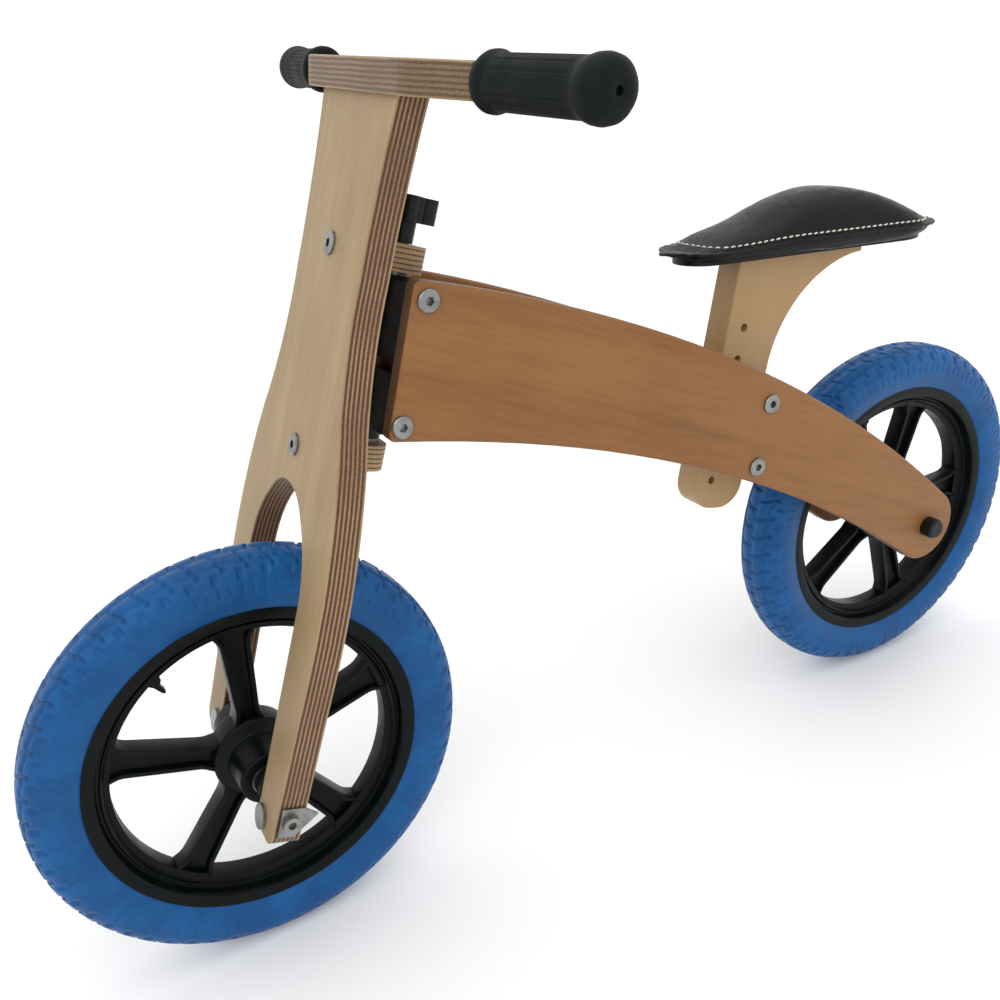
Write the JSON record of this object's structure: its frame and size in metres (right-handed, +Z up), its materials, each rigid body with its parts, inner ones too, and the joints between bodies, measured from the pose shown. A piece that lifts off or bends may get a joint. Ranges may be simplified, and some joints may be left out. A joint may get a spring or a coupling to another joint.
{
  "type": "balance bike",
  "caption": "Child's wooden balance bike with arched frame plates, plywood fork and handlebar, padded saddle on a drilled post and foam-tyred moulded wheels.",
  "frame": {"origin": "on the floor, midway between the tyres' contact points and between the side plates", "axes": "+X forward, from rear wheel to front wheel; +Y to the rider's left, along the axles; +Z up"},
  "size_m": [0.892, 0.4048, 0.586],
  "materials": {
    "stained_wood": "satin lacquer",
    "birch_plywood": "satin lacquer",
    "saddle_leather": "grained",
    "saddle_base": "matte",
    "grip_rubber": "ribbed matte",
    "tyre_foam": "matte foam",
    "rim_plastic": "semi gloss",
    "head_plastic": "semi gloss",
    "knob_plastic": "satin",
    "cap_plastic": "gloss",
    "ring_plastic": "satin",
    "bright_steel": "zinc plated",
    "plain_steel": "plain",
    "brass_insert": "plain"
  },
  "bodies": {
    "frame": {"side_plate_left": "stained_wood", "side_plate_right": "stained_wood", "head_housing_upper": "head_plastic", "head_housing_lower": "head_plastic", "head_spacer_ring": "ring_plastic", "head_screws": "bright_steel", "head_inserts": "brass_insert", "seat_post": "birch_plywood", "seat_bolts": "bright_steel", "seat_sleeve_nuts": "bright_steel", "seat_clamp_block_left": "birch_plywood", "seat_clamp_block_right": "birch_plywood", "saddle_board": "saddle_base", "saddle_screws": "plain_steel", "saddle_cushion": "saddle_leather", "rear_axle": "plain_steel", "rear_axle_nuts": "plain_steel", "rear_axle_caps": "cap_plastic", "rear_axle_spacers": "plain_steel"},
    "fork": {"fork_plate": "birch_plywood", "head_block_screws": "bright_steel", "head_block_inserts": "brass_insert", "steering_pin": "plain_steel", "thrust_washers": "plain_steel", "upper_head_block": "birch_plywood", "lower_head_block": "birch_plywood", "handlebar_board": "birch_plywood", "handlebar_screws": "bright_steel", "grip_left": "grip_rubber", "grip_right": "grip_rubber", "front_axle": "plain_steel", "front_axle_screws": "bright_steel", "axle_tabs": "plain_steel", "front_axle_spacers": "plain_steel", "foot_bolts": "bright_steel", "foot_nuts": "bright_steel"},
    "knob": {"steering_knob": "knob_plastic", "knob_insert": "brass_insert"},
    "front_wheel": {"front_tyre": "tyre_foam", "front_rim": "rim_plastic", "front_hub_bearings": "plain_steel"},
    "rear_wheel": {"rear_tyre": "tyre_foam", "rear_rim": "rim_plastic", "rear_hub_bearings": "plain_steel"}
  },
  "joints": [
    {"name": "steering", "type": "hinge", "parent": "frame", "child": "fork", "pos_m": [0.16516, 0, 0.40001], "axis": [-0.3502, 0, 0.9367], "range_deg": [-16, 16]},
    {"name": "knob_turn", "type": "hinge", "parent": "fork", "child": "knob", "pos_m": [0.13539, 0, 0.47963], "axis": [-0.3502, 0, 0.9367], "continuous": true},
    {"name": "front_wheel_spin", "type": "hinge", "parent": "fork", "child": "front_wheel", "pos_m": [0.296, 0, 0.15], "axis": [0, 1, 0], "continuous": true},
    {"name": "rear_wheel_spin", "type": "hinge", "parent": "frame", "child": "rear_wheel", "pos_m": [-0.296, 0, 0.15], "axis": [0, 1, 0], "continuous": true}
  ]
}
